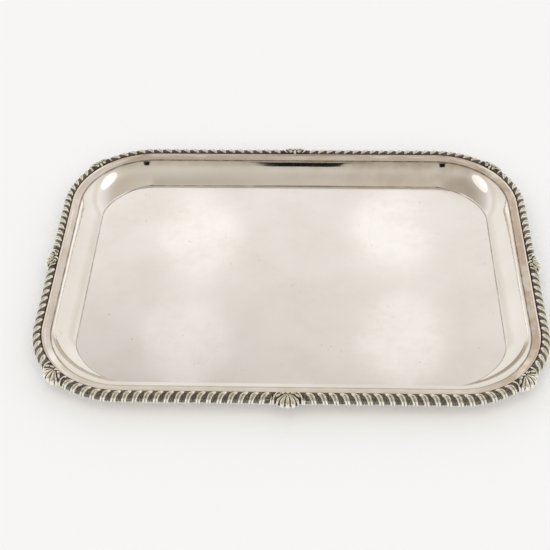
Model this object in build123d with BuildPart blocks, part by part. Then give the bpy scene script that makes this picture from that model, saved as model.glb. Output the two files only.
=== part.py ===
from build123d import *
import math
import os

os.makedirs("parts", exist_ok=True)

# An oblong silver-plated salver, in millimetres. +X runs along its length, +Y to its
# rear and +Z up. The origin is the middle of the flat base, on the surface it stands on.
# Profiles are drawn in (n, z): n is the distance outwards from the rim line, the plain
# line along the inner side of the border, and z is the height above the base.

# Driving dimensions
RIM_HALF_LENGTH = 190.0     # centre to rim line, along X
RIM_HALF_WIDTH = 141.6      # centre to rim line, along Y
RIM_CORNER_RADIUS = 66.6
SHEET = 1.2                 # thickness of the body
WELL_DEPTH = 17.9           # rim line down to the well floor
WELL_INSET = 24.0           # rim line in to the edge of the well floor
CREASE_INSET = 7.3          # rim line in to the crease at the top of the wall
CREASE_DROP = 2.0
WALL_TURN = 36.0            # degrees the hollow wall turns through
BORDER_WIDTH = 7.8          # gadroon border, rim line to its outer edge
BORDER_DROP = 4.7           # outer edge of the border, below the rim line
CREST = 3.4                 # rim line to the crest of the border
CREST_RISE = 2.0            # crest of the border above the rim line
SEAT_DROP = 0.8             # body below the rim line, where the mounts sit on it
SEAT_END = 5.2              # n of the body's outer edge
SEAT_END_DROP = 3.2
MOUNT_DEPTH = 1.35          # a mount's relief and its metal together
MOUNT_FOOT = 2.2            # width of a mount's inner foot on the seat
FILLET_WIRE_WIDTH = 1.3     # plain wire along the inside of the mounts
EDGE_WIRE_GAP = 0.1         # between the body's edge and the wire outside it
EDGE_WIRE_HEIGHT = 1.6
SHELL_HALF_SPAN = 11.5      # half of the border's length that a shell takes up
SHELL_REACH = 11.2          # tip of a shell, out from the rim line
SHELL_RISE = 0.6            # top of a shell above the crest of the border
FIT = 0.02                  # solder gap left between neighbouring pieces

# Shell lobes on one side, as (along the rim, outwards, radius) of each rounded tip
SHELL_LOBES = [(0.0, 8.8, 2.4), (3.8, 8.5, 2.3), (7.4, 7.6, 1.8)]
SHELL_HOLLOW = (8.2, 9.6)   # half width and reach of the hollow behind a shell

# Worked out from them
RIM_Z = SHEET + WELL_DEPTH
EDGE_Z = RIM_Z - BORDER_DROP
BORDER_HEIGHT = BORDER_DROP + CREST_RISE
SHELL_HEIGHT = BORDER_HEIGHT + SHELL_RISE
STRAIGHT_X = RIM_HALF_LENGTH - RIM_CORNER_RADIUS
STRAIGHT_Y = RIM_HALF_WIDTH - RIM_CORNER_RADIUS
SHELL_HALF_ANGLE = math.degrees(SHELL_HALF_SPAN / (RIM_CORNER_RADIUS + BORDER_WIDTH / 2))
FLAT_LAP = 4.0              # flat floor kept in the rim section, inside the wall


def seat(n):
    """Height of the body's seat under the mounts, at n."""
    slope = (SEAT_END_DROP - SEAT_DROP) / SEAT_END
    return RIM_Z - SEAT_DROP - slope * n


def rim_plane():
    """Profile plane at the middle of the front side: x is n and y is z."""
    return Plane(origin=(0, -RIM_HALF_WIDTH, 0), x_dir=(0, -1, 0), z_dir=(-1, 0, 0))


def rim_loop():
    """The rim line, all the way round from the middle of the front."""
    a, b, r = RIM_HALF_LENGTH, RIM_HALF_WIDTH, RIM_CORNER_RADIUS
    with BuildLine() as loop:
        Line((0, -b), (STRAIGHT_X, -b))
        CenterArc((STRAIGHT_X, -STRAIGHT_Y), r, -90, 90)
        Line((a, -STRAIGHT_Y), (a, STRAIGHT_Y))
        CenterArc((STRAIGHT_X, STRAIGHT_Y), r, 0, 90)
        Line((STRAIGHT_X, b), (-STRAIGHT_X, b))
        CenterArc((-STRAIGHT_X, STRAIGHT_Y), r, 90, 90)
        Line((-a, STRAIGHT_Y), (-a, -STRAIGHT_Y))
        CenterArc((-STRAIGHT_X, -STRAIGHT_Y), r, 180, 90)
        Line((-STRAIGHT_X, -b), (0, -b))
    return loop.wire()


def save(piece, name):
    piece.label = name
    export_step(piece, f"parts/{name}.step")


def mitre(point, slope_before, slope_after):
    """The point under a bend of the sheet, one sheet thickness below both of its sides."""
    mean = math.radians((slope_before + slope_after) / 2)
    reach = SHEET / math.cos(math.radians(slope_before - slope_after) / 2)
    return (point[0] + reach * math.sin(mean), point[1] - reach * math.cos(mean))


# Tray body: one raised sheet with a flat floor, a hollow wall, a narrow flange and a
# seat that falls away under the mounts.
floor_edge = (-WELL_INSET, SHEET)
crease = (-CREASE_INSET, RIM_Z - CREASE_DROP)
ridge = (0, seat(0))
outer_edge = (SEAT_END, seat(SEAT_END))
wall_slope = math.degrees(math.atan2(crease[1] - floor_edge[1], crease[0] - floor_edge[0]))
wall_foot = wall_slope - WALL_TURN / 2
wall_head = wall_slope + WALL_TURN / 2
flange_slope = math.degrees(math.atan2(ridge[1] - crease[1], ridge[0] - crease[0]))
seat_slope = -math.degrees(math.atan2(SEAT_END_DROP - SEAT_DROP, SEAT_END))
with BuildPart() as tray_body:
    with BuildSketch(rim_plane()) as body_profile:
        with BuildLine():
            foot_direction = (math.cos(math.radians(wall_foot)), math.sin(math.radians(wall_foot)))
            Line((-WELL_INSET - FLAT_LAP, SHEET), floor_edge)
            wall = TangentArc(floor_edge, crease, tangent=foot_direction)
            wall_middle = wall @ 0.5
            Polyline(crease, ridge, outer_edge, mitre(outer_edge, seat_slope, seat_slope))
            Polyline(
                mitre(outer_edge, seat_slope, seat_slope),
                mitre(ridge, flange_slope, seat_slope),
                mitre(crease, wall_head, flange_slope),
            )
            ThreePointArc(
                mitre(crease, wall_head, flange_slope),
                mitre((wall_middle.X, wall_middle.Y), wall_slope, wall_slope),
                mitre(floor_edge, wall_foot, wall_foot),
            )
            Polyline(
                mitre(floor_edge, wall_foot, wall_foot),
                (-WELL_INSET, 0),
                (-WELL_INSET - FLAT_LAP, 0),
                (-WELL_INSET - FLAT_LAP, SHEET),
            )
        make_face()
    sweep(path=rim_loop())
    with BuildSketch(Plane.XY):
        inset = WELL_INSET + FLAT_LAP / 2
        RectangleRounded(
            2 * (RIM_HALF_LENGTH - inset), 2 * (RIM_HALF_WIDTH - inset), RIM_CORNER_RADIUS - inset
        )
    extrude(amount=SHEET)
save(tray_body.part, "tray_body")


# Plain wire soldered along the inner side of the mounts, standing a little proud.
with BuildPart() as inner_fillet_wire:
    with BuildSketch(rim_plane()):
        with BuildLine():
            inner = (-FILLET_WIRE_WIDTH - FIT, seat(0) + FIT - FILLET_WIRE_WIDTH * math.tan(
                math.radians(flange_slope)))
            outer = (-FIT, seat(0) + FIT)
            ThreePointArc(inner, (-FILLET_WIRE_WIDTH / 2, RIM_Z), outer)
            Line(outer, inner)
        make_face()
    sweep(path=rim_loop())
save(inner_fillet_wire.part, "inner_fillet_wire")


# Square wire that closes the underside of the border, outside the body's edge.
wire_top = EDGE_Z + EDGE_WIRE_HEIGHT
wire_inner = SEAT_END + EDGE_WIRE_GAP
wire_outer = BORDER_WIDTH - MOUNT_DEPTH - 2 * FIT
with BuildPart() as edge_wire:
    with BuildSketch(rim_plane()):
        with BuildLine():
            lean = math.sqrt(1 - (EDGE_WIRE_HEIGHT / (BORDER_HEIGHT - MOUNT_DEPTH)) ** 2)
            Polyline(
                (wire_inner, EDGE_Z),
                (wire_outer, EDGE_Z),
                (CREST + (wire_outer - CREST) * lean - FIT, wire_top),
                (wire_inner, wire_top),
                (wire_inner, EDGE_Z),
            )
        make_face()
    sweep(path=rim_loop())
save(edge_wire.part, "edge_wire")


# The mounts: stamped gadroon lengths and shells, each filled with solder from behind.
# A half border is drawn in the front right quarter and mirrored to its other places.
# Each place is the path of the rim line there, and where its profile starts.
def long_run():
    """From the front shell to the corner shell."""
    with BuildLine() as path:
        Line((SHELL_HALF_SPAN + FIT, -RIM_HALF_WIDTH), (STRAIGHT_X, -RIM_HALF_WIDTH))
        CenterArc((STRAIGHT_X, -STRAIGHT_Y), RIM_CORNER_RADIUS, -90, 45 - SHELL_HALF_ANGLE)
    return path.wire()


def short_run():
    """From the corner shell to the right-hand shell."""
    start = -45 + SHELL_HALF_ANGLE
    with BuildLine() as path:
        CenterArc((STRAIGHT_X, -STRAIGHT_Y), RIM_CORNER_RADIUS, start, -start)
        Line((RIM_HALF_LENGTH, -STRAIGHT_Y), (RIM_HALF_LENGTH, -SHELL_HALF_SPAN - FIT))
    return path.wire()


def front_span(half_span):
    with BuildLine() as path:
        Line((-half_span, -RIM_HALF_WIDTH), (half_span, -RIM_HALF_WIDTH))
    return path.wire()


def right_span(half_span):
    with BuildLine() as path:
        Line((RIM_HALF_LENGTH, -half_span), (RIM_HALF_LENGTH, half_span))
    return path.wire()


def corner_span(half_span):
    half_angle = SHELL_HALF_ANGLE * half_span / SHELL_HALF_SPAN
    with BuildLine() as path:
        CenterArc(
            (STRAIGHT_X, -STRAIGHT_Y), RIM_CORNER_RADIUS, -45 - half_angle, 2 * half_angle
        )
    return path.wire()


def profile_plane(path):
    """Plane across the start of a path: x runs out from the tray and y runs up."""
    along = (path % 0).normalized()
    return Plane(origin=path @ 0, x_dir=along.cross(Vector(0, 0, 1)), z_dir=-along)


def plan_plane(path):
    """Plane lying flat at the middle of a path: y runs out from the tray."""
    along = (path % 0.5).normalized()
    return Plane(origin=path @ 0.5, x_dir=-along, z_dir=(0, 0, 1))


def outer_arc(width, height, low=0.0):
    """Rounded top of a mount, from a height above its edge in to its crest."""
    start = math.degrees(math.asin(low / height))
    return EllipticalCenterArc(
        (CREST, EDGE_Z), width - CREST, height, start_angle=start, arc_size=90 - start
    )


def inner_arc(height):
    """Rounded top of a mount, from its crest down to the rim line."""
    rise = height - BORDER_DROP
    return EllipticalCenterArc((CREST, RIM_Z), CREST, rise, start_angle=90, arc_size=90)


def stamping_profile():
    """Section of a stamped gadroon length, with a foot on the seat."""
    roof = EDGE_Z + BORDER_HEIGHT - MOUNT_DEPTH
    with BuildSketch() as profile:
        with BuildLine():
            outside = outer_arc(BORDER_WIDTH, BORDER_HEIGHT)
            inside = outer_arc(BORDER_WIDTH - MOUNT_DEPTH, BORDER_HEIGHT - MOUNT_DEPTH)
            inner_arc(BORDER_HEIGHT)
            Polyline(
                (0, RIM_Z),
                (0, seat(0) + FIT),
                (MOUNT_FOOT, seat(MOUNT_FOOT) + FIT),
                (MOUNT_FOOT, roof),
                inside @ 1,
            )
            Line(inside @ 0, outside @ 0)
        make_face()
    return profile.sketch


def filling_profile():
    """Section of the solder behind a gadroon length, over the seat and the edge wire."""
    wall = MOUNT_DEPTH + FIT
    foot = MOUNT_FOOT + FIT
    with BuildSketch() as profile:
        with BuildLine():
            top = outer_arc(BORDER_WIDTH - wall, BORDER_HEIGHT - wall, EDGE_WIRE_HEIGHT + FIT)
            Polyline(
                top @ 1,
                (foot, EDGE_Z + BORDER_HEIGHT - wall),
                (foot, seat(foot) + FIT),
                (SEAT_END + FIT, seat(SEAT_END + FIT) + FIT),
                (SEAT_END + FIT, wire_top + FIT),
                top @ 0,
            )
        make_face()
    return profile.sketch


def mount_profile(width, height):
    """Section of the space under a mount's rounded top, down to the level of its edge."""
    with BuildSketch() as profile:
        with BuildLine():
            outer_arc(width, height)
            inner_arc(height)
            Polyline((0, RIM_Z), (0, EDGE_Z), (width, EDGE_Z))
        make_face()
    return profile.sketch


def hollow_profile(width, height, inner):
    """Section of the space behind a mount, from inner out, down to the level of its edge."""
    with BuildSketch() as profile:
        with BuildLine():
            top = outer_arc(width, height)
            Polyline(top @ 1, (inner, EDGE_Z + height), (inner, EDGE_Z), (width, EDGE_Z))
        make_face()
    return profile.sketch


def rim_below_profile():
    """Section of what a shell stands on: the seat, the body's edge and the edge wire."""
    with BuildSketch() as profile:
        with BuildLine():
            Polyline(
                (-1, seat(0) + FIT),
                (0, seat(0) + FIT),
                (SEAT_END + FIT, seat(SEAT_END + FIT) + FIT),
                (SEAT_END + FIT, wire_top + FIT),
                (wire_outer + FIT, wire_top + FIT),
                (wire_outer + FIT, EDGE_Z - 1),
                (-1, EDGE_Z - 1),
                (-1, seat(0) + FIT),
            )
        make_face()
    return profile.sketch


def shell_outline():
    """Plan of a shell's fan of lobes, with the border behind them."""
    with BuildSketch() as outline:
        for along, out, radius in SHELL_LOBES:
            with Locations((along, out), (-along, out)):
                Circle(radius)
        with Locations((0, SHELL_LOBES[1][1] / 2)):
            Rectangle(2 * SHELL_LOBES[2][0], SHELL_LOBES[1][1])
    return outline.sketch


def hollow_outline(gap):
    """Plan of the hollow behind a fan, moved in by gap."""
    with BuildSketch() as outline:
        Ellipse(SHELL_HOLLOW[0] - gap, SHELL_HOLLOW[1] - gap)
    return outline.sketch


def mount_block(span, outline, profile, wall=0.0):
    """A fan with this plan and the border beside it, under a rounded top, wall in from outside."""
    long_path = span(SHELL_HALF_SPAN + 1)
    band_path = span(SHELL_HALF_SPAN - wall)
    with BuildPart() as block:
        with BuildSketch(plan_plane(long_path)):
            add(outline)
        extrude(amount=EDGE_Z + SHELL_HEIGHT + 1)
        with BuildSketch(profile_plane(long_path)):
            add(profile(SHELL_REACH - wall, SHELL_HEIGHT - wall))
        sweep(path=long_path, mode=Mode.INTERSECT)
        with BuildSketch(profile_plane(band_path)):
            add(profile(BORDER_WIDTH - wall, BORDER_HEIGHT - wall))
        sweep(path=band_path)
    return block.part


def hollow_block(span, gap):
    """The hollow behind a shell, moved in by gap."""
    foot = MOUNT_FOOT + gap
    return mount_block(
        span,
        hollow_outline(gap),
        lambda width, height: hollow_profile(width, height, foot),
        MOUNT_DEPTH + gap,
    )


def save_mirrored(piece, name, mirrors):
    """Saves a mount in one of its places."""
    with BuildPart() as placed:
        add(piece)
        for plane in mirrors:
            mirror(about=plane, mode=Mode.REPLACE)
    save(placed.part, name)


# Gadroon lengths, and the solder filling behind each
RUNS = [
    ("front_right", long_run, []),
    ("front_left", long_run, [Plane.YZ]),
    ("rear_right", long_run, [Plane.XZ]),
    ("rear_left", long_run, [Plane.XZ, Plane.YZ]),
    ("right_front", short_run, []),
    ("right_rear", short_run, [Plane.XZ]),
    ("left_front", short_run, [Plane.YZ]),
    ("left_rear", short_run, [Plane.XZ, Plane.YZ]),
]
for place, run, mirrors in RUNS:
    with BuildPart() as gadroon:
        with BuildSketch(profile_plane(run())):
            add(stamping_profile())
        sweep(path=run())
    save_mirrored(gadroon.part, f"gadroon_{place}", mirrors)
    with BuildPart() as filling:
        with BuildSketch(profile_plane(run())):
            add(filling_profile())
        sweep(path=run())
    save_mirrored(filling.part, f"filling_{place}", mirrors)


# Shells at the middle of each side and at each corner, and the filling behind each
SHELLS = [
    ("front", front_span, []),
    ("rear", front_span, [Plane.XZ]),
    ("right", right_span, []),
    ("left", right_span, [Plane.YZ]),
    ("corner_front_right", corner_span, []),
    ("corner_front_left", corner_span, [Plane.YZ]),
    ("corner_rear_right", corner_span, [Plane.XZ]),
    ("corner_rear_left", corner_span, [Plane.XZ, Plane.YZ]),
]
for place, span, mirrors in SHELLS:
    rim_below = span(SHELL_HALF_SPAN + 2)
    with BuildPart() as shell:
        add(mount_block(span, shell_outline(), mount_profile))
        add(hollow_block(span, 0), mode=Mode.SUBTRACT)
        with BuildSketch(profile_plane(rim_below)):
            add(rim_below_profile())
        sweep(path=rim_below, mode=Mode.SUBTRACT)
    save_mirrored(shell.part, f"shell_{place}", mirrors)
    with BuildPart() as shell_filling:
        add(hollow_block(span, FIT))
        with BuildSketch(profile_plane(rim_below)):
            add(rim_below_profile())
        sweep(path=rim_below, mode=Mode.SUBTRACT)
    save_mirrored(shell_filling.part, f"shell_filling_{place}", mirrors)
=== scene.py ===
import bpy
import math
import numpy as np
from mathutils import Matrix, Vector


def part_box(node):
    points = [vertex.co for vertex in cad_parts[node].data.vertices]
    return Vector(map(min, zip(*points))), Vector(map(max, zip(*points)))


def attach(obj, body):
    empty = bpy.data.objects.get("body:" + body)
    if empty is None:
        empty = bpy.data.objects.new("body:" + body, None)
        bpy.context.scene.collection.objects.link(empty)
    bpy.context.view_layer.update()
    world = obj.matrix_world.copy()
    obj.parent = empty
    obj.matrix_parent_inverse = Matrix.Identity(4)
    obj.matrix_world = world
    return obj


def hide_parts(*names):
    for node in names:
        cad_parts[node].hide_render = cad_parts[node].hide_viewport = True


# An oblong silver-plated salver with a gadrooned border and eight shells.
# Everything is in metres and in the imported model's frame: +X along the salver,
# +Y to its rear, +Z up. Profiles are drawn in (n, z): n is the distance outwards
# from the rim line, and z the height above the table.

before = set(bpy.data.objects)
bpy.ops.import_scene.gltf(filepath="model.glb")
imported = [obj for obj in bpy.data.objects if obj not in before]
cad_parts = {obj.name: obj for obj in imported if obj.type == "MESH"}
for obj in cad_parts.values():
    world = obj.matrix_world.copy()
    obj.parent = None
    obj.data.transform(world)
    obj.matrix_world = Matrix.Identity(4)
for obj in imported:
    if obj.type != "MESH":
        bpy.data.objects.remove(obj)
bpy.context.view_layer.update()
MM = 0.001

# ---------------------------------------------------------------- dimensions
_, wire_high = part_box("inner_fillet_wire")
strip_low, strip_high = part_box("gadroon_front_right")
shell_low, shell_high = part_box("shell_front")
RIM_X = wire_high.x                     # centre to rim line along X
RIM_Y = wire_high.y                     # centre to rim line along Y
RIM_Z = wire_high.z                     # height of the rim line
BAND = -strip_low.y - RIM_Y             # width of the gadroon border
DROP = RIM_Z - strip_low.z              # fall of the border to its outer edge
REACH = -shell_low.y - RIM_Y            # tip of a shell, out from the rim line
CREST_RISE = strip_high.z - RIM_Z       # crest of the border above the rim line
CREST = 3.4 * MM                        # rim line to the crest of the border
SHELL_RISE = shell_high.z - strip_high.z        # top of a shell above that crest
HALF_SPAN = (shell_high.x - shell_low.x) / 2    # half of a shell mount's length
CORNER = 66.6 * MM                      # corner radius of the rim line
SHEET = 1.2 * MM                        # thickness of the body
WELL_INSET = 24 * MM                    # rim line in to the well floor
CREASE_INSET = 6.8 * MM                 # rim line in to the top of the wall
CREASE_DROP = 2.0 * MM                  # top of the wall, below the rim line
SEAT_DROP = 0.8 * MM                    # seat under the mounts, below the rim line
SEAT_END = 5.2 * MM                     # outer edge of the seat, out from the rim line
SEAT_END_DROP = 3.2 * MM                # that edge, below the rim line
RELIEF = 1.0 * MM                       # depth of the mounts' hollows
BACK = 1.35 * MM                        # back of the mounts, in from their tops
BACK_POINTS = 6                         # points of its curve
FOOT = 2.2 * MM                         # width of the mounts' foot on the seat
FIT = 0.03 * MM                         # gap between neighbours

STRAIGHT_X = RIM_X - CORNER
STRAIGHT_Y = RIM_Y - CORNER
MID_RADIUS = CORNER + BAND / 2          # the border is measured along its middle
EDGE_Z = RIM_Z - DROP


# ---------------------------------------------------------------- the rim line
def rim_length():
    """Once round the border, along its middle."""
    return 4 * (STRAIGHT_X + STRAIGHT_Y) + 2 * math.pi * MID_RADIUS


def rim_at(t):
    """Points and outward normals of the rim line, t metres round the border from the front."""
    quarter = MID_RADIUS * math.pi / 2
    t = np.mod(np.asarray(t, float), rim_length())
    x, y = np.zeros_like(t), np.zeros_like(t)
    nx, ny = np.zeros_like(t), np.zeros_like(t)
    # Outward normal and length of each straight, then the corner after it: signs and angle
    runs = [((0, -1), STRAIGHT_X, (1, -1), -90), ((1, 0), 2 * STRAIGHT_Y, (1, 1), 0),
            ((0, 1), 2 * STRAIGHT_X, (-1, 1), 90), ((-1, 0), 2 * STRAIGHT_Y, (-1, -1), 180)]
    start = 0.0
    for out, length, (sign_x, sign_y), angle in runs:
        out = np.array(out, float)
        along = np.array([-out[1], out[0]])
        centre = np.array([sign_x * STRAIGHT_X, sign_y * STRAIGHT_Y])
        on = (t >= start) & (t < start + length)
        left = (start + length - t[on])[..., None]
        point = centre + out * CORNER - along * left
        x[on], y[on] = point[..., 0], point[..., 1]
        nx[on], ny[on] = out
        start += length
        on = (t >= start) & (t < start + quarter)
        turn = math.radians(angle) + (t[on] - start) / MID_RADIUS
        nx[on], ny[on] = np.cos(turn), np.sin(turn)
        x[on] = centre[0] + CORNER * nx[on]
        y[on] = centre[1] + CORNER * ny[on]
        start += quarter
    on = t >= start
    x[on], y[on] = t[on] - rim_length(), -RIM_Y
    nx[on], ny[on] = 0, -1
    return x, y, nx, ny


def place(t, n, z):
    """World points of border positions, as one array."""
    x, y, nx, ny = rim_at(t)
    return np.stack([x + nx * n, y + ny * n, z + 0 * x], axis=-1)


CORNER_ARC = MID_RADIUS * math.pi / 4   # half of a corner, along the border
SHELL_PLACES = {
    "front": 0.0,
    "corner_front_right": STRAIGHT_X + CORNER_ARC,
    "right": STRAIGHT_X + 2 * CORNER_ARC + STRAIGHT_Y,
    "corner_rear_right": STRAIGHT_X + 3 * CORNER_ARC + 2 * STRAIGHT_Y,
    "rear": rim_length() / 2,
}
for place_name, mirrored in [("corner_rear_left", "corner_rear_right"), ("left", "right"),
                             ("corner_front_left", "corner_front_right")]:
    SHELL_PLACES[place_name] = rim_length() - SHELL_PLACES[mirrored]


# ---------------------------------------------------------------- mesh helpers
def smoothstep(low, high, value):
    """0 below low, 1 above high and smooth between."""
    x = np.clip((value - low) / (high - low), 0, 1)
    return x * x * (3 - 2 * x)


def make_object(name, points, faces, smooth_angle=40):
    """A mesh object with smooth shading that breaks at sharp bends."""
    mesh = bpy.data.meshes.new(name)
    mesh.from_pydata(points.reshape(-1, 3).tolist(), [], faces)
    mesh.update()
    mesh.shade_smooth()
    mesh.set_sharp_from_angle(angle=math.radians(smooth_angle))
    piece = bpy.data.objects.new(name, mesh)
    bpy.context.scene.collection.objects.link(piece)
    return piece


def tube_faces(rows, columns, closed_along):
    """Quads of a grid whose columns wrap round, and whose rows may wrap too."""
    faces = []
    for i in range(rows if closed_along else rows - 1):
        for j in range(columns):
            this_row, next_row = i * columns, (i + 1) % rows * columns
            k = (j + 1) % columns
            faces.append((this_row + j, this_row + k, next_row + k, next_row + j))
    if not closed_along:
        faces.append(tuple(range(columns))[::-1])
        faces.append(tuple((rows - 1) * columns + j for j in range(columns)))
    return faces


def add_attribute(piece, name, values):
    """A number at each point of a piece, for its material."""
    layer = piece.data.attributes.new(name, "FLOAT", "POINT")
    layer.data.foreach_set("value", np.asarray(values, np.float32).ravel())


def waves(x, y, wavelength, seed):
    """Smooth unevenness between about -1 and 1, the same on every run."""
    random = np.random.default_rng(seed)
    added, scale = 6, 4
    total = np.zeros_like(x)
    for _ in range(added):
        angle, phase = random.uniform(0, 2 * math.pi, 2)
        k = 2 * math.pi / (wavelength * random.uniform(0.7, 1.5))
        total += np.sin(k * (x * math.cos(angle) + y * math.sin(angle)) + phase)
    return total / scale


def loop_stations():
    """Distances round the border, closer together in the corners."""
    half_long, corner, short = (STRAIGHT_X, 24), (2 * CORNER_ARC, 40), (2 * STRAIGHT_Y, 30)
    long = (2 * STRAIGHT_X, 48)
    stops = [0.0]
    for length, count in [half_long, corner, short, corner, long, corner, short, corner,
                          half_long]:
        stops += list(stops[-1] + np.linspace(0, length, count + 1)[1:])
    return np.array(stops[:-1])


def arc_between(start, end, slope_start, slope_end, count):
    """Points of a smooth bend from start to end, with slopes in degrees at its ends."""
    reach = math.dist(start, end) / 3
    a = np.array(start)
    d = np.array(end)
    turn_a, turn_d = math.radians(slope_start), math.radians(slope_end)
    b = a + reach * np.array([math.cos(turn_a), math.sin(turn_a)])
    c = d - reach * np.array([math.cos(turn_d), math.sin(turn_d)])
    u = np.linspace(0, 1, count)[:, None]
    return (1 - u) ** 3 * a + 3 * (1 - u) ** 2 * u * b + 3 * (1 - u) * u ** 2 * c + u ** 3 * d


def seat(n):
    """Height of the seat under the mounts, n out from the rim line."""
    return RIM_Z - SEAT_DROP - (SEAT_END_DROP - SEAT_DROP) / SEAT_END * n


# ---------------------------------------------------------------- tray body
# Corners of the body's section, as (n, z), and its slopes there in degrees
FLOOR_EDGE = (-WELL_INSET - 0.55 * MM, SHEET)
STEP_LOW = (-WELL_INSET - 0.2 * MM, SHEET + 0.14 * MM)
STEP_HIGH = (-WELL_INSET + 0.45 * MM, SHEET + 0.95 * MM)
WALL_FOOT = (-WELL_INSET + 0.95 * MM, SHEET + 1.3 * MM)
WALL_HEAD = (-CREASE_INSET - 0.2 * MM, RIM_Z - CREASE_DROP - 0.32 * MM)
FLANGE_START = (-CREASE_INSET + 0.25 * MM, RIM_Z - CREASE_DROP + 0.06 * MM)
FLANGE_END = (-1.35 * MM, seat(0) - 0.2 * MM)
WALL_FOOT_SLOPE, WALL_HEAD_SLOPE = 27, 57
FLANGE_SLOPES = 10, 9

UNDER_FLAT = 7                          # points of the section that rest on the table
FLOOR_RINGS = 25                        # rings of the flat floor, inside the section
SMALLEST_RING = 0.04                    # the innermost of them, against the floor's edge
FLOOR_CORNER_SWELL = 2.3 * MM           # how far the floor's rounder corners are drawn in
HAND_WAVE = 0.055 * MM                  # unevenness of the raised wall
FLOOR_WAVE = 0.018 * MM                 # unevenness of the floor


def body_top_profile():
    """Top of the sheet from the edge of the well floor out to the edge under the mounts."""
    edge_n = FLOOR_EDGE[0]
    parts = [
        np.array([(edge_n - 1.0 * MM, SHEET), (edge_n - 0.15 * MM, SHEET), FLOOR_EDGE]),
        arc_between(FLOOR_EDGE, STEP_LOW, 4, 49, 4),
        arc_between(STEP_LOW, STEP_HIGH, 50, 52, 4),
        arc_between(STEP_HIGH, WALL_FOOT, 51, WALL_FOOT_SLOPE, 5),
        arc_between(WALL_FOOT, WALL_HEAD, WALL_FOOT_SLOPE, WALL_HEAD_SLOPE, 32),
        arc_between(WALL_HEAD, FLANGE_START, WALL_HEAD_SLOPE, FLANGE_SLOPES[0], 7),
        arc_between(FLANGE_START, FLANGE_END, *FLANGE_SLOPES, 8),
        np.array([FLANGE_END, (0.1 * MM, seat(0)), (SEAT_END, seat(SEAT_END))]),
    ]
    return np.vstack([parts[0]] + [part[1:] for part in parts[1:]])


def corner_swell(t):
    """Extra inset of the wall's foot in the corners, where the floor is rounder."""
    _, _, nx, ny = rim_at(t)
    return FLOOR_CORNER_SWELL * np.abs(2 * nx * ny) ** 1.5


def body_rings(t, profile):
    """A profile all round, with its foot drawn in where the floor is rounder."""
    n, z = profile[:, 0], profile[:, 1]
    share = np.clip((-CREASE_INSET - n) / (WELL_INSET - CREASE_INSET), 0, 1)
    t_grid, n_grid = np.meshgrid(t, n, indexing="ij")
    n_grid = n_grid - corner_swell(t)[:, None] * share[None, :]
    return place(t_grid, n_grid, z[None, :] + 0 * n_grid), n_grid


def body_shade_and_tarnish(t, n):
    """Painted shade in the seams and creases, and tarnish on the flange with painted shade on
    its sides and on the rear wall, at t round the border and n out from it.
    """
    x, _, nx, ny = rim_at(t)
    # Painted shade: dark lines at the foot of the mounts, along the floor's edge and along the
    # crease, where step shadows and dark reflections fall
    at_mounts = 0.35 * smoothstep(-2.2 * MM, -1.2 * MM, n)
    at_floor_edge = 0.55 * (np.abs(n + WELL_INSET + 0.1 * MM) < 0.4 * MM)
    at_crease = 0.95 * np.exp(-(((n + CREASE_INSET) / (0.42 * MM)) ** 2))
    crease_shade = np.repeat([at_mounts + at_floor_edge + at_crease], len(t), axis=0)

    flange = smoothstep(-7.4 * MM, -6.4 * MM, n)
    # Tarnish on the flange, with painted shade that makes it darker on the two short sides and
    # most on the right
    on_flange = 0.42 + 0.12 * nx ** 2 + 0.62 * np.maximum(nx, 0)
    # Painted shade on the rear wall, darker to the right and towards its top
    to_the_right = 0.38 * smoothstep(-60 * MM, 120 * MM, x)
    to_the_top = 0.35 * smoothstep(-13 * MM, -8 * MM, n)
    rear_wall_shade = np.maximum(ny, 0)[:, None] * (to_the_right[:, None] + to_the_top)
    tarnish_and_shade = on_flange[:, None] * flange + rear_wall_shade * (1 - flange)
    return crease_shade, tarnish_and_shade


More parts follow.
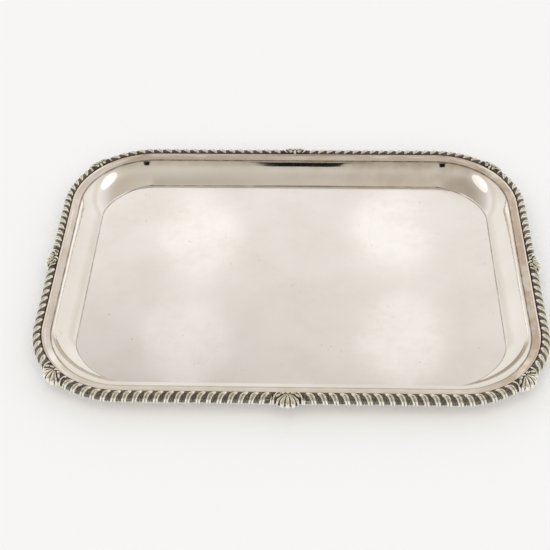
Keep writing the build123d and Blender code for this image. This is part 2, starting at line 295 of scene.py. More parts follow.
def make_tray_body():
    """The raised sheet: floor, hollow wall, flange and seat, closed underneath."""
    t = loop_stations()
    top = body_top_profile()
    step = np.gradient(top, axis=0)
    step /= np.linalg.norm(step, axis=1)[:, None]
    under = top + SHEET * np.stack([step[:, 1], -step[:, 0]], axis=1)
    under[:, 1] = np.maximum(under[:, 1], 0)
    under[:UNDER_FLAT, 1] = 0

    outer_top, n_grid = body_rings(t, top)
    raised = HAND_WAVE * smoothstep(-WELL_INSET, -WELL_INSET + 5 * MM, n_grid)
    raised *= 1 - smoothstep(-3 * MM, -1.5 * MM, n_grid)
    outer_top[..., 2] += raised * waves(outer_top[..., 0], outer_top[..., 1], 26 * MM, 3)
    outer_under, _ = body_rings(t, under)

    shrink = np.linspace(SMALLEST_RING, 1, FLOOR_RINGS + 1)[:-1]
    floor_top = outer_top[:, :1, :] * shrink[None, :, None]
    inside_edge = smoothstep(0, 0.15, 1 - shrink[None, :])
    floor_top[..., 2] = SHEET + FLOOR_WAVE * inside_edge * waves(
        floor_top[..., 0], floor_top[..., 1], 85 * MM, 8)
    floor_under = outer_under[:, :1, :] * shrink[None, :, None]
    floor_under[..., 2] = 0

    rows = np.concatenate(
        [floor_top, outer_top, outer_under[:, ::-1], floor_under[:, ::-1]], axis=1)
    stations, columns = rows.shape[:2]
    centre_top, centre_under = stations * columns, stations * columns + 1
    points = np.vstack([rows.reshape(-1, 3), [(0, 0, SHEET), (0, 0, 0)]])
    faces = []
    for i in range(stations):
        here, there = i * columns, (i + 1) % stations * columns
        for j in range(columns - 1):
            faces.append((here + j, here + j + 1, there + j + 1, there + j))
        faces.append((centre_top, here, there))
        faces.append((centre_under, there + columns - 1, here + columns - 1))
    body = make_object("tray_body_sheet", points, faces, smooth_angle=38)

    wall, crease_shade, tarnish_and_shade = (np.zeros_like(rows[..., 0]) for _ in range(3))
    wall[:, FLOOR_RINGS:columns - FLOOR_RINGS] = 1
    outside = slice(FLOOR_RINGS, FLOOR_RINGS + len(top))
    # Painted shade in the creases and seams, and tarnish with painted shade, kept at each point
    # for the material
    crease_shade[:, outside], tarnish_and_shade[:, outside] = body_shade_and_tarnish(t, top[:, 0])
    for name, values in [("wall", wall), ("crease_shade", crease_shade), ("tarnish_and_shade", tarnish_and_shade)]:
        add_attribute(body, name, np.append(values.ravel(), [0, 0]))
    return body


# ---------------------------------------------------------------- plain wire
# Section of the wire in millimetres, out from the rim line and down from its top, without
# its foot
WIRE_SECTION = [(-0.02, 0.25), (-0.1, 0.06), (-0.2, 0), (-0.35, 0.01), (-0.46, 0.06),
                (-0.7, 0.36), (-0.96, 0.70), (-1.22, 1.03)]
WIRE_FOOT_OUTER, WIRE_FOOT_INNER = -0.02, -1.26
WIRE_FOOT_SINK = 0.25 * MM              # foot of the wire, below the seat


def make_fillet_wire():
    """Half-round wire along the inner side of the mounts."""
    t = loop_stations()
    foot = (SEAT_DROP + WIRE_FOOT_SINK) / MM
    section = np.array([(WIRE_FOOT_OUTER, foot), *WIRE_SECTION, (WIRE_FOOT_INNER, foot)]) * MM
    t_grid, n_grid = np.meshgrid(t, section[:, 0], indexing="ij")
    points = place(t_grid, n_grid, RIM_Z - section[:, 1])
    faces = tube_faces(len(t), len(section), closed_along=True)
    return make_object("fillet_wire_round", points, faces, smooth_angle=28)


# ---------------------------------------------------------------- mounts
def border_top(v, width, rise):
    """Point and normal of the border's rounded top: v runs from the rim line to the edge."""
    quarter = math.pi / 2
    turn = np.linspace(0, quarter, 120)
    inner_n, inner_z = CREST * (1 - np.cos(turn)), CREST_RISE * np.sin(turn)
    outer_n = CREST + (BAND - CREST) * np.sin(turn)
    outer_z = (DROP + CREST_RISE) * np.cos(turn) - DROP
    n, z = np.append(inner_n, outer_n[1:]), np.append(inner_z, outer_z[1:])
    along = np.append(0, np.cumsum(np.hypot(np.diff(n), np.diff(z))))
    stage = np.append(turn, quarter + turn[1:])
    u = np.interp(v, along / along[-1], stage)
    inner = u < quarter
    a = np.where(inner, u, u - quarter)
    span, height = width - CREST, DROP + rise
    points_n = np.where(inner, CREST * (1 - np.cos(a)), CREST + span * np.sin(a))
    points_z = np.where(inner, RIM_Z + rise * np.sin(a), EDGE_Z + height * np.cos(a))
    normal_n = np.where(inner, -np.cos(a) * rise, np.sin(a) * height)
    normal_z = np.where(inner, np.sin(a) * CREST, np.cos(a) * span)
    size = np.hypot(normal_n, normal_z)
    return points_n, points_z, normal_n / size, normal_z / size


def mount_back():
    """Back of a mount, from its outer edge to its foot on the seat and its inner side."""
    turn = np.linspace(0, math.pi / 2, BACK_POINTS)
    roof = EDGE_Z + DROP + CREST_RISE - BACK
    n = CREST + (BAND - BACK - CREST) * np.cos(turn)
    z = EDGE_Z + (roof - EDGE_Z) * np.sin(turn)
    n = np.concatenate([n, [FOOT, FOOT, FIT]])
    z = np.concatenate([z, [roof, seat(FOOT) + FIT, seat(0) + FIT]])
    return n, z


def make_mount(name, t, v, depth, width, rise, cavity):
    """A closed mount from its relief: depth in from the rounded top at each (t, v)."""
    n_top, z_top, nn, nz = border_top(v, width, rise)
    n_top = np.maximum(n_top - nn * depth, FIT)
    z_top = z_top - nz * depth
    top = place(t, n_top, z_top)
    n_back, z_back = mount_back()
    t_back = t[:, -1:] + (t[:, :1] - t[:, -1:]) * np.linspace(0, 1, len(n_back))[None, :]
    back = place(t_back, n_back[None, :] + 0 * t_back, z_back[None, :] + 0 * t_back)
    points = np.concatenate([top, back], axis=1)
    rows, columns = points.shape[:2]
    faces = tube_faces(rows, columns, closed_along=False)
    piece = make_object(name, points, faces, smooth_angle=60)
    dark_back = np.ones_like(t_back)
    add_attribute(piece, "cavity", np.concatenate([cavity, dark_back], axis=1))
    return piece


FIRST_RIDGE = 14.0 * MM         # middle shell's centre to the first ridge, at its inner end
LAST_RIDGE = 2.3 * MM           # last ridge's outer end to the corner shell's mount
LEAN = 5.0 * MM                 # how far a ridge leans towards the corner shell
LEAN_START = 0.1                # where it begins to, across the border
COLUMNS_PER_RIDGE = 24
RIDGE_ROWS = 24
RIDGE_SIDE = 0.07               # width of a ridge's flank, against the pitch
STREAKS = 8.5                   # streaks in the hollow between two ridges
UNEVEN_STEP = 0.13              # makes the wear of each gadroon length its own


def lean(v):
    """How far a gadroon has leant towards the corner shell at v."""
    return LEAN * (1 - (1 - np.clip((v - LEAN_START) / (1 - LEAN_START), 0, 1)) ** 2)


def gadroon_relief(w, v, uneven):
    """Depth below the rounded top, and how dark it is kept, at ridge phase w."""
    x = w - np.round(w)
    half = 0.05 + 0.20 * smoothstep(0.04, 0.30, v) - 0.06 * smoothstep(0.36, 0.58, v)
    ridge = 1 - smoothstep(half - RIDGE_SIDE * 0.3, half + RIDGE_SIDE, np.abs(x))
    lip = smoothstep(0.94, 1.0, v)

    crown = 0.12 * (np.abs(x) / half) ** 2
    channel = np.exp(-((x / (half * 0.40)) ** 2)) * smoothstep(0.12, 0.4, v)
    inner_end = 0.5 * (1 - smoothstep(0.04, 0.2, v))
    on_ridge = np.minimum(crown + 0.3 * channel + inner_end, 0.8)

    from_ridge = np.clip((np.abs(x) - half) / (0.5 - half), 0, 1)
    hollow = (0.7 + 0.3 * smoothstep(0.1, 0.5, v)) * (0.8 + 0.2 * from_ridge)
    streak = np.sin(2 * math.pi * (x * STREAKS + 0.6 * np.sin(5 * v))) * smoothstep(0.1, 0.3, v)
    in_hollow = hollow * (1 - 0.3 * lip) + 0.08 * streak

    depth = ridge * on_ridge + (1 - ridge) * in_hollow
    wear = 0.03 * np.sin(2 * math.pi * (np.round(w) * 0.37 + uneven))
    dark = (1 - ridge) * (1 - 0.6 * lip - 0.18 * (1 + streak)) + ridge * 0.72 * channel
    # Dark all across the inner end, in the groove against the wire: oxide there, and painted
    # shade
    dark = np.maximum(dark, 1 - smoothstep(0.02, 0.10, v))
    return RELIEF * np.clip(depth + wear, 0, 1), dark


def make_gadroon(place_name, shell_centre, direction, corner_distance, ridges, uneven):
    """One gadroon length, from the shell at the middle of a side towards a corner shell."""
    start = HALF_SPAN + FIT
    end = corner_distance - HALF_SPAN - FIT
    last = corner_distance - HALF_SPAN - LAST_RIDGE - LEAN
    pitch = (last - FIRST_RIDGE) / (ridges - 1)
    w_start = (start - FIRST_RIDGE) / pitch
    w_end = (end - FIRST_RIDGE) / pitch
    w = np.linspace(w_start, w_end, int((w_end - w_start) * COLUMNS_PER_RIDGE))
    v = np.linspace(0, 1, RIDGE_ROWS)
    w_grid, v_grid = np.meshgrid(w, v, indexing="ij")
    # The grid leans with the ridges, except at its own two ends
    upright_ends = smoothstep(w_start, 0.0, w_grid) * (1 - smoothstep(ridges - 1, w_end, w_grid))
    t = FIRST_RIDGE + w_grid * pitch + lean(v_grid) * upright_ends
    phase = (t - FIRST_RIDGE - lean(v_grid)) / pitch
    depth, cavity = gadroon_relief(phase, v_grid, uneven)
    world_t = shell_centre + direction * t
    if direction < 0:
        world_t, depth, cavity = world_t[::-1], depth[::-1], cavity[::-1]
    return make_mount(f"gadroon_{place_name}_relief", world_t, v_grid, depth, BAND, CREST_RISE,
                      cavity)


# Middle shell, direction, distance to the corner shell and ridges of each gadroon length
LONG_REACH = SHELL_PLACES["corner_front_right"]
SHORT_REACH = SHELL_PLACES["right"] - SHELL_PLACES["corner_front_right"]
GADROONS = {
    "front_right": ("front", 1, LONG_REACH, 19),
    "front_left": ("front", -1, LONG_REACH, 20),
    "rear_right": ("rear", -1, LONG_REACH, 20),
    "rear_left": ("rear", 1, LONG_REACH, 19),
    "right_front": ("right", -1, SHORT_REACH, 14),
    "right_rear": ("right", 1, SHORT_REACH, 13),
    "left_front": ("left", 1, SHORT_REACH, 13),
    "left_rear": ("left", -1, SHORT_REACH, 14),
}


# ---------------------------------------------------------------- shells
# Sizes on a shell are in millimetres: x along the rim line and y out from it
HUB = 1.9                               # hub of the fan, out from the rim line
# Lobes of the fan: direction and half width in degrees, distance from the hub to the tip and
# radius of the rounded end
LOBES = [(0, 14.5, 9.2, 2.3), (28.4, 13.9, 10.0, 2.3), (-28.4, 13.9, 10.0, 2.3),
         (48.7, 6.8, 10.8, 1.5), (-48.7, 6.8, 10.8, 1.5)]
# Bosses beside the hub: place, half length and half breadth, and angle in degrees
STEM = (0, 0.9, 2.6, 1.35, 90)
SCROLL = (4.0, 1.9, 2.1, 1.6, 25)
SCROLL_EYE = (4.5, 1.9, 0.9, 0.7, 0)
LEAF = (7.0, 4.6, 2.5, 1.15, 38)
# Crescent at each end: its place at the rim line, how far it swings out by the edge, and how
# soon
CORNER_CRESCENT = (11.0, -1.6, 2.0)
SIDE_CRESCENT = (6.0, 4.7, 2.4)
SHELL_COLUMNS, SHELL_ROWS = 150, 62
TIP_CLEARANCE = 0.05 * MM               # tips of the lobes, inside the shell's reach


def bump(x, y, centre_x, centre_y, length, breadth, angle, side=1):
    """Rounded boss, 1 at its middle and 0 outside; side is -1 for its mirror image."""
    turn = math.radians(angle)
    dx, dy = side * x - centre_x, y - centre_y
    along = (dx * math.cos(turn) + dy * math.sin(turn)) / length
    across = (-dx * math.sin(turn) + dy * math.cos(turn)) / breadth
    return np.sqrt(np.clip(1 - along ** 2 - across ** 2, 0, 1))


def fan_relief(x, y):
    """Height from 0 to 1 of the lobes of a shell."""
    r = np.hypot(x, y - HUB)
    angle = np.degrees(np.arctan2(x, y - HUB))
    swell = 0.78 + 0.22 * smoothstep(3.0, 8.0, r)
    height = np.zeros_like(x)
    for direction, half, tip, _ in LOBES:
        off = np.abs(angle - direction) / half
        body = np.sqrt(np.clip(1 - (1.12 * off) ** 2.4, 0, 1))
        reach = smoothstep(0.8, 2.4, r) * (1 - smoothstep(tip + 0.2, tip + 1.8, r))
        height = np.maximum(height, body * reach * swell)
    return height


def shell_relief(s, n, v, corner):
    """Height from 0 to 1 of a shell's ornament at s along and n out from the rim line."""
    x, y = s / MM, n / MM
    height = np.maximum(fan_relief(x, y), bump(x, y, *STEM))
    at_rim, swing, soon = CORNER_CRESCENT if corner else SIDE_CRESCENT
    for side in (-1, 1):
        scroll = bump(x, y, *SCROLL, side) - 0.55 * bump(x, y, *SCROLL_EYE, side)
        leaf = 0.85 * bump(x, y, *LEAF, side)
        line = side * (at_rim + swing * (1 - (1 - v) ** soon))
        crescent = np.clip(1 - ((x - line) / (0.75 + 0.35 * v)) ** 2, 0, 1) ** 0.5
        crescent *= 0.95 * smoothstep(0.0, 0.12, v)
        for ornament in (scroll, leaf, crescent):
            height = np.maximum(height, ornament)
    return height


def shell_outline(s):
    """Width of a shell and the rise of its crest, at s along the rim line."""
    x = s / MM
    reach = np.full_like(x, BAND / MM)
    for direction, _, tip, rounding in LOBES:
        turn = math.radians(direction)
        centre_x = (tip - rounding) * math.sin(turn)
        centre_y = HUB + (tip - rounding) * math.cos(turn)
        half = np.clip(rounding ** 2 - (x - centre_x) ** 2, 0, None)
        reach = np.maximum(reach, np.where(half > 0, centre_y + np.sqrt(half), 0))
    limit = REACH - TIP_CLEARANCE
    fan = np.clip((reach * MM - BAND) / (limit - BAND), 0, 1)
    return np.minimum(reach * MM, limit), CREST_RISE + SHELL_RISE * smoothstep(0, 0.5, fan)


def make_shell(place_name):
    """One shell, domed fan, hub, scrolls and side crescents, as a closed mount."""
    corner = place_name.startswith("corner")
    s = np.linspace(-HALF_SPAN + FIT, HALF_SPAN - FIT, SHELL_COLUMNS)
    v = np.linspace(0, 1, SHELL_ROWS)
    s_grid, v_grid = np.meshgrid(s, v, indexing="ij")
    width, rise = shell_outline(s_grid)
    n_grid, _, _, _ = border_top(v_grid, width, rise)
    ornament = shell_relief(s_grid, n_grid, v_grid, corner)
    depth = RELIEF * (1 - ornament)
    cavity = 1 - smoothstep(0.35, 0.75, ornament)
    t = SHELL_PLACES[place_name] + s_grid
    return make_mount(f"shell_{place_name}_relief", t, v_grid, depth, width, rise, cavity)


# ---------------------------------------------------------------- materials
SCRATCH_STRETCH = (1, 0.06, 1)          # noise drawn out into lines
SCRATCH_EDGE = 0.05                     # how soft the side of a scratch is


class Surface:
    """A metal surface and short names for the nodes it is built from."""

    def __init__(self, name):
        self.material = bpy.data.materials.new(name)
        self.material.use_nodes = True
        self.nodes = self.material.node_tree.nodes
        self.links = self.material.node_tree.links
        self.shader = self.nodes["Principled BSDF"]
        self.shader.inputs["Metallic"].default_value = 1
        self.position = self.nodes.new("ShaderNodeTexCoord").outputs["Object"]

    def join(self, source, target):
        """Set a socket to a number or colour, or link it to another socket."""
        if isinstance(source, (int, float, tuple)):
            target.default_value = source
        else:
            self.links.new(source, target)

    def noise(self, wavelength, detail=3, stretch=(1, 1, 1), turn=0):
        """Noise from 0 to 1 with blotches about one wavelength across."""
        mapping = self.nodes.new("ShaderNodeMapping")
        mapping.inputs["Rotation"].default_value = (0, 0, math.radians(turn))
        mapping.inputs["Scale"].default_value = stretch
        self.links.new(self.position, mapping.inputs["Vector"])
        texture = self.nodes.new("ShaderNodeTexNoise")
        texture.inputs["Scale"].default_value = 1 / wavelength
        texture.inputs["Detail"].default_value = detail
        self.links.new(mapping.outputs["Vector"], texture.inputs["Vector"])
        return texture.outputs["Fac"]

    def attribute(self, name):
        """The number that add_attribute() kept at each point."""
        node = self.nodes.new("ShaderNodeAttribute")
        node.attribute_name = name
        return node.outputs["Fac"]

    def remap(self, source, low, high, new_low=0.0, new_high=1.0):
        """Stretch source's low..high onto new_low..new_high, clamped."""
        node = self.nodes.new("ShaderNodeMapRange")
        self.join(source, node.inputs["Value"])
        for name, value in [("From Min", low), ("From Max", high), ("To Min", new_low),
                            ("To Max", new_high)]:
            self.join(value, node.inputs[name])
        return node.outputs["Result"]

    def math(self, operation, a, b):
        """One sum of two numbers or sockets."""
        node = self.nodes.new("ShaderNodeMath")
        node.operation = operation
        self.join(a, node.inputs[0])
        self.join(b, node.inputs[1])
        return node.outputs["Value"]

    def mix(self, factor, a, b):
        """Colour a where factor is 0 and b where it is 1."""
        node = self.nodes.new("ShaderNodeMix")
        node.data_type = "RGBA"
        self.join(factor, node.inputs["Factor"])
        self.join(a, node.inputs["A"])
        self.join(b, node.inputs["B"])
        return node.outputs["Result"]

    def bump(self, height, distance, strength, under=None):
        """Normal of a height, laid over another one if there is any."""
        node = self.nodes.new("ShaderNodeBump")
        node.inputs["Strength"].default_value = strength
        node.inputs["Distance"].default_value = distance
        self.links.new(height, node.inputs["Height"])
        if under is not None:
            self.links.new(under, node.inputs["Normal"])
        return node.outputs["Normal"]

    def scratches(self, turns, wavelength, thin):
        """Fine crossing scratches, 1 on a scratch and 0 beside it."""
        total = None
        for turn in turns:
            lines = self.noise(wavelength, 1, SCRATCH_STRETCH, turn)
            lines = self.remap(lines, thin, thin + SCRATCH_EDGE)
            total = lines if total is None else self.math("MAXIMUM", total, lines)
        return total

    def finish(self, colour, roughness, normal):
        """Link the shader's inputs, and give back the material."""
        self.links.new(colour, self.shader.inputs["Base Color"])
        self.links.new(roughness, self.shader.inputs["Roughness"])
        self.links.new(normal, self.shader.inputs["Normal"])
        return self.material


def rgb(red, green, blue):
    """An opaque colour for a socket."""
    return (red, green, blue, 1.0)


PLATE_BRIGHT = rgb(0.97, 0.955, 0.935)
PLATE_GREYED = rgb(0.93, 0.91, 0.885)
PLATE_WORN = rgb(0.90, 0.86, 0.81)
PLATE_STAIN = rgb(0.42, 0.33, 0.25)
# The next two colours: brown tarnish, also used as painted shade, and the dark painted shade of
# the creases and seams
PLATE_TARNISH_AND_SHADE = rgb(0.62, 0.51, 0.40)
PLATE_CREASE_SHADE = rgb(0.13, 0.085, 0.055)
SCRATCH_TURNS = (8, 47, 95, 139, 171)   # directions of the scratches in degrees


def polished_silver():
    """Worn bright plate: soft shine on the floor, sharper on the wall, tarnish by the mounts,
    and painted shade along the creases and seams, on the flange's sides and on the rear wall.
    """
    s = Surface("silver_polished")
    wall = s.attribute("wall")
    crease_shade = s.attribute("crease_shade")
    tarnish_and_shade = s.attribute("tarnish_and_shade")
    blotches = s.remap(s.noise(48 * MM, 4), 0.38, 0.66)
    fine = s.remap(s.noise(7 * MM, 5), 0.3, 0.7)
    scratches = s.scratches(SCRATCH_TURNS, 0.8 * MM, 0.71)

    worn = s.math("MULTIPLY", fine, s.remap(blotches, 0.2, 0.9, 0.0, 0.4))
    stain = s.remap(s.noise(3.2 * MM, 4), 0.66, 0.76, 0, 0.45)
    stain = s.math("MULTIPLY", stain, s.remap(s.noise(30 * MM, 1), 0.55, 0.65))
    # Tarnish, with painted shade on the flange's sides and on the rear wall
    dulled_and_shaded = s.remap(s.noise(13 * MM, 5), 0.36, 0.62, 0.4, 1)
    dulled_and_shaded = s.math("MULTIPLY", tarnish_and_shade, dulled_and_shaded)
    # Painted shade along the seams and creases
    seam_shade = s.math("MULTIPLY", crease_shade, s.remap(s.noise(9 * MM, 4), 0.25, 0.6, 0.45, 0.98))
    colour = s.mix(blotches, PLATE_BRIGHT, PLATE_GREYED)
    for amount, stained in [(worn, PLATE_WORN), (stain, PLATE_STAIN), (dulled_and_shaded, PLATE_TARNISH_AND_SHADE),
                            (seam_shade, PLATE_CREASE_SHADE)]:
        colour = s.mix(amount, colour, stained)

    roughness = s.remap(fine, 0, 1, 0.105, 0.13)
    roughness = s.math("ADD", roughness, s.remap(blotches, 0, 1, -0.01, 0.015))
    polish = s.remap(wall, 0, 1, 1.0, 0.5)
    roughness = s.math("MULTIPLY", roughness, polish)
    roughness = s.math("ADD", roughness, s.math("MULTIPLY", seam_shade, 0.3))
    roughness = s.math("ADD", roughness, s.math("MULTIPLY", scratches, 0.04))
    normal = s.bump(scratches, 0.01 * MM, 0.15)
    normal = s.bump(s.noise(2.2 * MM, 2), 0.02 * MM, 0.25, normal)
    return s.finish(colour, roughness, normal)


def fillet_silver():
    """Rubbed wire with a little copper showing."""
    s = Surface("silver_fillet")
    rubbed = s.remap(s.noise(11 * MM, 4), 0.35, 0.65)
    colour = s.mix(rubbed, rgb(0.95, 0.90, 0.84), rgb(0.93, 0.80, 0.70))
    dull = s.remap(s.noise(2.4 * MM, 4), 0.58, 0.75, 0, 0.5)
    colour = s.mix(dull, colour, rgb(0.55, 0.43, 0.33))
    roughness = s.remap(dull, 0, 0.5, 0.16, 0.36)
    normal = s.bump(s.noise(1.2 * MM, 3), 0.04 * MM, 0.5)
    return s.finish(colour, roughness, normal)


RIDGE_BRIGHT = rgb(0.95, 0.94, 0.855)
RIDGE_YELLOWED = rgb(0.86, 0.82, 0.70)
HOLLOW_PURPLE = rgb(0.085, 0.066, 0.064)
HOLLOW_GREEN = rgb(0.105, 0.10, 0.072)
HOLLOW_DUST = rgb(0.21, 0.185, 0.15)


def oxidised_silver():
    """Stamped mounts: bright where polish reaches, purple-brown and green in the hollows."""
    s = Surface("silver_oxidised")
    cavity = s.attribute("cavity")
    ragged = s.math("MULTIPLY", s.math("SUBTRACT", s.noise(1.1 * MM, 4), 0.5), 0.55)
    hollow = s.remap(s.math("ADD", cavity, ragged), 0.25, 0.85)
    dark = s.mix(s.remap(s.noise(5 * MM, 3), 0.4, 0.62), HOLLOW_PURPLE, HOLLOW_GREEN)
    dark = s.mix(s.remap(s.noise(0.7 * MM, 4), 0.45, 0.75, 0, 0.5), dark, HOLLOW_DUST)
    bright = s.mix(s.remap(s.noise(4 * MM, 3), 0.4, 0.65), RIDGE_BRIGHT, RIDGE_YELLOWED)
    colour = s.mix(hollow, bright, dark)
    roughness = s.remap(hollow, 0, 1, 0.17, 0.40)
    roughness = s.math("ADD", roughness, s.remap(s.noise(0.9 * MM, 3), 0.3, 0.7, -0.04, 0.05))
    normal = s.bump(s.noise(0.55 * MM, 3), 0.05 * MM, 0.45)
    return s.finish(colour, roughness, normal)


def dull_solder():
    """Grey solder, seen only from below."""
    s = Surface("solder_dull")
    grain = s.remap(s.noise(1.5 * MM, 5), 0.3, 0.7)
    colour = s.mix(grain, rgb(0.36, 0.33, 0.29), rgb(0.48, 0.45, 0.41))
    normal = s.bump(s.noise(0.8 * MM, 4), 0.08 * MM, 0.6)
    return s.finish(colour, s.remap(grain, 0, 1, 0.42, 0.6), normal)


# ---------------------------------------------------------------- the salver
FINISHES = {
    "polished_silver": polished_silver(),
    "fillet_silver": fillet_silver(),
    "oxidised_silver": oxidised_silver(),
    "solder_filling": dull_solder(),
}


def take_place(piece, slot_name, *nodes):
    """Give a piece its finish, its body and the CAD nodes it stands for."""
    piece.data.materials.append(FINISHES[slot_name])
    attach(piece, "root")
    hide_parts(*nodes)


take_place(make_tray_body(), "polished_silver", "tray_body")
take_place(make_fillet_wire(), "fillet_silver", "inner_fillet_wire")
for index, (place_name, (shell, direction, distance, ridges)) in enumerate(GADROONS.items()):
    strip = make_gadroon(place_name, SHELL_PLACES[shell], direction, distance, ridges,
                         index * UNEVEN_STEP)
    take_place(strip, "oxidised_silver", f"gadroon_{place_name}")
for place_name in SHELL_PLACES:
    take_place(make_shell(place_name), "oxidised_silver", f"shell_{place_name}")

# The CAD nodes that no piece stands for: the edge wire and the solder fillings
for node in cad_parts:
    piece = bpy.data.objects.get(node)
    if piece is None or piece.hide_render:
        continue
    finish = "fillet_silver" if node == "edge_wire" else "solder_filling"
    for slot in piece.material_slots:
        slot.material = FINISHES[finish]


# ---------------------------------------------------------------- table and light
def glow(name, colour):
    """Plain light-giving material for a card that only shines in the silver."""
    material = bpy.data.materials.new(name)
    material.use_nodes = True
    nodes, links = material.node_tree.nodes, material.node_tree.links
    nodes.clear()
    output = nodes.new("ShaderNodeOutputMaterial")
    emission = nodes.new("ShaderNodeEmission")
    emission.inputs["Color"].default_value = colour
    links.new(emission.outputs["Emission"], output.inputs["Surface"])
    material.cycles.emission_sampling = "NONE"
    return material


def only_in_reflections(card):
    """Hide a card from everything but mirror images."""
    card.visible_camera = False
    card.visible_diffuse = False
    card.visible_shadow = False
    card.visible_transmission = False


TABLE_HALF = 3.0
TABLE_GAP = 0.02 * MM                   # keeps the table's face off the salver's base


def make_table():
    """A broad white table top."""
    corners = [(-1, -1), (1, -1), (1, 1), (-1, 1)]
    points = np.array([(x * TABLE_HALF, y * TABLE_HALF, -TABLE_GAP) for x, y in corners])
    table = make_object("table_top", points, [(0, 1, 2, 3)])
    material = bpy.data.materials.new("table_white")
    material.use_nodes = True
    shader = material.node_tree.nodes["Principled BSDF"]
    shader.inputs["Base Color"].default_value = rgb(0.91, 0.912, 0.91)
    shader.inputs["Roughness"].default_value = 0.85
    shader.inputs["Specular IOR Level"].default_value = 0.1
    table.data.materials.append(material)


# Brightness of the room by height in degrees, seen in the silver: behind the salver
# and on the viewer's side
ROOM_BEHIND = [(0, (0.84, 0.80, 0.74)), (22, (0.86, 0.82, 0.76)), (31, (0.74, 0.69, 0.62)),
               (37, (0.88, 0.84, 0.80)), (43, (0.82, 0.78, 0.73)), (49, (0.74, 0.695, 0.65)),
               (56, (0.60, 0.54, 0.46)), (63, (0.54, 0.47, 0.39)), (90, (0.60, 0.55, 0.48))]
ROOM_NEAR = [(0, (0.37, 0.32, 0.26)), (14, (0.43, 0.375, 0.31)), (28, (0.51, 0.46, 0.39)),
             (48, (0.61, 0.57, 0.49)), (66, (0.61, 0.57, 0.50)), (90, (0.60, 0.55, 0.48))]
ROOM_RADIUS = 4.0
ROOM_COLUMNS, ROOM_ROWS = 96, 48
ROOM_LOWEST = -4                        # lower edge of the dome, in degrees
ROOM_PATCHES = 0.035                    # unevenness of its light
LEFT_SHADE = 0.17                       # how much darker it is high up on the left


def room_colour(height, behind):
    """Colour of the room at a height in degrees; behind runs from 0, near, to 1."""
    result = []
    for table in (ROOM_NEAR, ROOM_BEHIND):
        heights = [row[0] for row in table]
        colours = np.array([row[1] for row in table])
        result.append(np.stack(
            [np.interp(height, heights, colours[:, i]) for i in range(3)], axis=-1))
    return result[0] * (1 - behind[..., None]) + result[1] * behind[..., None]


def make_room():
    """A dome of soft light and shade that only the silver sees."""
    around = np.linspace(0, 2 * math.pi, ROOM_COLUMNS + 1)[:-1]
    heights = np.linspace(ROOM_LOWEST, 90, ROOM_ROWS)
    a, h = np.meshgrid(around, heights, indexing="ij")
    turn = np.radians(h)
    to_x, to_y, to_z = np.cos(turn) * np.cos(a), np.cos(turn) * np.sin(a), np.sin(turn)
    points = ROOM_RADIUS * np.stack([to_x, to_y, to_z], axis=-1)
    faces = []
    for i in range(ROOM_COLUMNS):
        here, there = i * ROOM_ROWS, (i + 1) % ROOM_COLUMNS * ROOM_ROWS
        for j in range(ROOM_ROWS - 1):
            faces.append((here + j, here + j + 1, there + j + 1, there + j))
    dome = make_object("room_dome", points, faces, smooth_angle=180)
    patches = waves(points[..., 0], points[..., 1] + points[..., 2], 2.2, 5)
    behind = smoothstep(-0.6, -0.05, to_y)
    left = smoothstep(-0.02, 0.14, -to_x) * smoothstep(38, 49, h)
    colour = room_colour(h, behind) * (1 + ROOM_PATCHES * patches)[..., None]
    colour *= (1 - LEFT_SHADE * left * behind)[..., None]
    layer = dome.data.color_attributes.new("room", "FLOAT_COLOR", "POINT")
    rgba = np.concatenate([colour, np.ones_like(colour[..., :1])], axis=-1)
    layer.data.foreach_set("color", rgba.astype(np.float32).ravel())
    material = glow("room_light", rgb(1, 1, 1))
    nodes, links = material.node_tree.nodes, material.node_tree.links
    source = nodes.new("ShaderNodeAttribute")
    source.attribute_name = "room"
    links.new(source.outputs["Color"], nodes["Emission"].inputs["Color"])
    dome.data.materials.append(material)
    only_in_reflections(dome)


TARGET = Vector((-0.01303, -0.01727, RIM_Z))
ELEVATION, YAW, ROLL = math.radians(42.93), math.radians(2.52), math.radians(-1.18)
DISTANCE = 0.9586                       # camera to target
LENS = 78.545                           # focal length in millimetres, on a 36 mm sensor
SENSOR = 36
CARD_BEHIND, CARD_LEFT = 0.03, 0.022    # middle of the camera card, from the lens
# Outline of the camera card in millimetres, to the right and up from its middle
CARD_OUTLINE = [(-70, 70), (-50, 95), (50, 95), (70, 70), (78, -50), (110, -110), (-100, -110),
                (-78, -50)]


def camera_axes():
    """Right, up and back directions of the camera."""
    back = Vector((math.sin(YAW) * math.cos(ELEVATION), -math.cos(YAW) * math.cos(ELEVATION),
                   math.sin(ELEVATION)))
    right = (-back).cross(Vector((0, 0, 1))).normalized()
    up = right.cross(-back)
    return (right * math.cos(ROLL) + up * math.sin(ROLL),
            up * math.cos(ROLL) - right * math.sin(ROLL), back)


def make_camera():
    """The camera at the photograph's viewing angle."""
    right, up, back = camera_axes()
    data = bpy.data.cameras.new("view")
    data.lens = LENS
    data.sensor_width = SENSOR
    camera = bpy.data.objects.new("view", data)
    basis = Matrix((right, up, back)).transposed()
    camera.matrix_world = Matrix.Translation(TARGET + back * DISTANCE) @ basis.to_4x4()
    bpy.context.scene.collection.objects.link(camera)
    bpy.context.scene.camera = camera


def make_camera_card():
    """The dark shape of whoever takes the picture, mirrored in the wall and the wire."""
    right, up, back = camera_axes()
    centre = TARGET + back * (DISTANCE + CARD_BEHIND) - right * CARD_LEFT
    points = np.array([centre + right * (x * MM) + up * (y * MM) for x, y in CARD_OUTLINE])
    card = make_object("camera_card", points, [tuple(range(len(CARD_OUTLINE)))])
    card.data.materials.append(glow("camera_dark", rgb(0.010, 0.010, 0.012)))
    only_in_reflections(card)


LAMP_HEIGHT = 1.0
LAMP_COLOUR = (0.95, 0.98, 1.0)
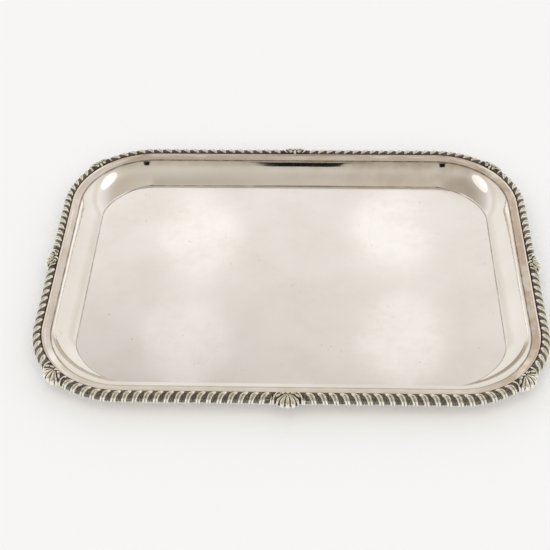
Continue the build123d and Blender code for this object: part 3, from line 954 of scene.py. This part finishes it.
# Place, width, depth and power of the ceiling lamps: four round ones beyond the salver and
# a long one at each side
LAMPS = [(-0.221, 1.18, 0.17, 0.17, 0.0145), (0.181, 1.21, 0.17, 0.17, 0.0155),
         (-0.228, 0.887, 0.17, 0.17, 0.0125), (0.188, 0.895, 0.17, 0.17, 0.0135),
         (-0.94, 0.02, 0.80, 0.42, 0.36), (0.94, 0.02, 0.80, 0.42, 0.34)]


def make_lamps():
    """Ceiling lamps, soft in the floor and bright in the walls."""
    for number, (x, y, width, depth, power) in enumerate(LAMPS):
        data = bpy.data.lights.new(f"ceiling_lamp_{number}", "AREA")
        data.shape = "ELLIPSE"
        data.size = width
        data.size_y = depth
        data.energy = power
        data.color = LAMP_COLOUR
        lamp = bpy.data.objects.new(f"ceiling_lamp_{number}", data)
        lamp.location = (x, y, LAMP_HEIGHT)
        lamp.rotation_euler = lamp.location.to_track_quat("Z", "Y").to_euler()
        lamp.visible_diffuse = False
        lamp.visible_camera = False
        bpy.context.scene.collection.objects.link(lamp)


FILL_COLOUR = (1.0, 0.93, 0.80)
FILL_ENERGY = 1.35
FILL_SPREAD, FILL_TURN = math.radians(70), math.radians(38)


def make_fill_light():
    """A very broad light from the viewer's side, which keeps the shadow under the rim pale."""
    data = bpy.data.lights.new("fill_light", "SUN")
    data.energy = FILL_ENERGY
    data.angle = FILL_SPREAD
    data.color = FILL_COLOUR
    fill = bpy.data.objects.new("fill_light", data)
    fill.rotation_euler = (FILL_TURN, 0, 0)
    fill.visible_glossy = False
    bpy.context.scene.collection.objects.link(fill)


WORLD_COLOUR = rgb(0.985, 1.0, 1.05)
WORLD_STRENGTH = 0.70


def make_world():
    """Even pale light all round, which the silver doesn't mirror."""
    world = bpy.data.worlds.new("soft_light")
    world.use_nodes = True
    background = world.node_tree.nodes["Background"]
    background.inputs["Color"].default_value = WORLD_COLOUR
    background.inputs["Strength"].default_value = WORLD_STRENGTH
    world.cycles_visibility.glossy = False
    bpy.context.scene.world = world


make_table()
make_room()
make_camera()
make_camera_card()
make_lamps()
make_fill_light()
make_world()
bpy.context.scene.view_settings.view_transform = "Standard"
